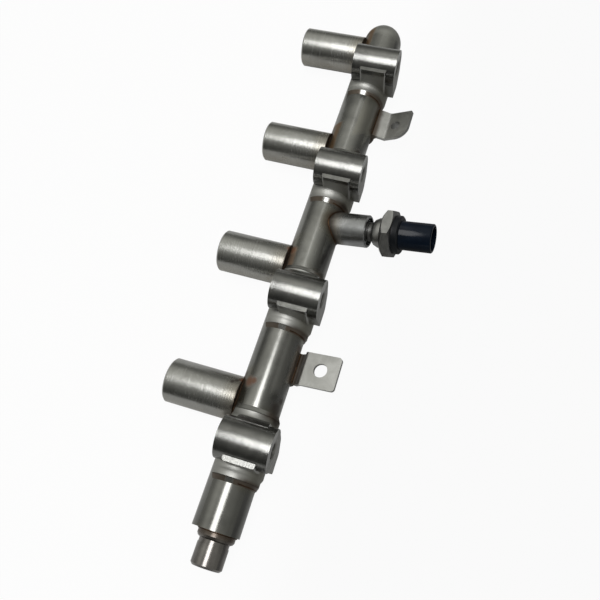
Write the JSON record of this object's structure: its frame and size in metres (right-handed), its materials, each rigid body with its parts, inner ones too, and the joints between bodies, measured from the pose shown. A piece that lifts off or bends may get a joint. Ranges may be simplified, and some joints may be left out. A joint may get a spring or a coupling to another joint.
{
  "type": "fuel rail",
  "caption": "Tubular steel fuel rail with injector cups, bolt bosses on saddles, a threaded pressure sensor, an inlet nipple and sheet brackets.",
  "frame": {"origin": "centre of the bolt row, in the plane of the bosses' seats", "axes": "+X along the tube towards the inlet, -Y the way the injector cups and the bolts point, +Z on the bolt boss side, away from the tube"},
  "size_m": [0.3706, 0.1236, 0.0437],
  "materials": {
    "tube_steel": "drawn tube, satin grey with brown heat tint by the joints",
    "cup_steel": "turned, satin, brown heat tint at the root",
    "mount_steel": "machined, fine turning marks on the boss",
    "inlet_steel": "dark polished steel",
    "port_steel": "turned, browned at the root",
    "sensor_steel": "turned and milled, lightly speckled",
    "bracket_steel": "pressed sheet, satin grey",
    "collar_plastic": "near black",
    "connector_plastic": "near black with a blue cast, half gloss",
    "terminal_tin": "tinned blade"
  },
  "bodies": {
    "root": {"far_bracket": "bracket_steel", "injector_cup_1": "cup_steel", "injector_cup_2": "cup_steel", "injector_cup_3": "cup_steel", "injector_cup_4": "cup_steel", "inlet_fitting": "inlet_steel", "near_bracket": "bracket_steel", "rail_mount_1": "mount_steel", "rail_mount_2": "mount_steel", "rail_mount_3": "mount_steel", "rail_mount_4": "mount_steel", "rail_tube": "tube_steel", "sensor_body": "sensor_steel", "sensor_collar": "collar_plastic", "sensor_connector": "connector_plastic", "sensor_port": "port_steel", "sensor_terminal_1": "terminal_tin", "sensor_terminal_2": "terminal_tin", "sensor_terminal_3": "terminal_tin"}
  },
  "joints": []
}
